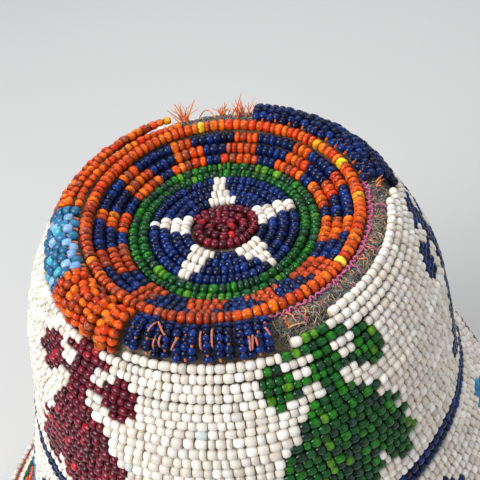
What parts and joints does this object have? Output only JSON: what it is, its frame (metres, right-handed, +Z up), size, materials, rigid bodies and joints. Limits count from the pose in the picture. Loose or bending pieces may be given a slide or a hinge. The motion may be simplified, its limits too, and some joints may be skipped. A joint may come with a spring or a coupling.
{
  "type": "beaded folk-art cap",
  "caption": "Flat-topped bell-shaped cap covered in strung glass beads: a sunk star rosette on the crown and figures, lines and stepped motifs round the wall.",
  "frame": {"origin": "centre of the hem's resting face, under the middle of the crown", "axes": "+Z up along the cap's own axis, -Y towards the side seen from the front"},
  "size_m": [0.187, 0.187, 0.1457],
  "materials": {
    "dark_blue_beads": "translucent seed beads",
    "garnet_beads": "translucent seed beads",
    "green_beads": "translucent seed beads",
    "cotton_lining": "plain cotton",
    "orange_beads": "translucent seed beads",
    "rawhide": "scraped and dried",
    "binding_tape": "woven cotton tape",
    "pink_thread": "twisted thread",
    "turquoise_beads": "opaque seed beads",
    "white_beads": "opaque seed beads",
    "wool_cloth": "coarse fulled wool"
  },
  "bodies": {
    "root": {"crown_cloth": "wool_cloth", "wall_cloth": "wool_cloth", "crown_stiffener": "rawhide", "crown_lining": "cotton_lining", "wall_lining": "cotton_lining", "hem_binding": "binding_tape", "centre_coil": "garnet_beads", "star_row_1": "dark_blue_beads", "star_row_2": "dark_blue_beads", "star_row_3": "dark_blue_beads", "star_row_4": "dark_blue_beads", "green_row_1": "green_beads", "green_row_2": "green_beads", "wedge_row_1": "orange_beads", "wedge_row_2": "orange_beads", "wedge_row_3": "orange_beads", "orange_row": "orange_beads", "roll_net_blue_back": "dark_blue_beads", "roll_net_orange_back": "orange_beads", "roll_net_turquoise": "turquoise_beads", "roll_net_orange_front": "orange_beads", "roll_net_blue_front": "dark_blue_beads", "couching_thread": "pink_thread", "figure_rows_top": "white_beads", "figure_rows_middle": "white_beads", "figure_rows_bottom": "white_beads", "blue_line_1": "dark_blue_beads", "blue_line_2": "dark_blue_beads", "white_rows_upper": "white_beads", "diamond_rows_upper": "white_beads", "diamond_rows_lower": "white_beads", "white_rows_lower": "white_beads", "blue_line_3": "dark_blue_beads", "blue_line_4": "dark_blue_beads", "wedge_rows": "orange_beads", "green_line_1": "green_beads", "green_line_2": "green_beads", "white_rows_hem": "white_beads", "orange_line_hem": "orange_beads", "hem_edging": "white_beads"}
  },
  "joints": []
}
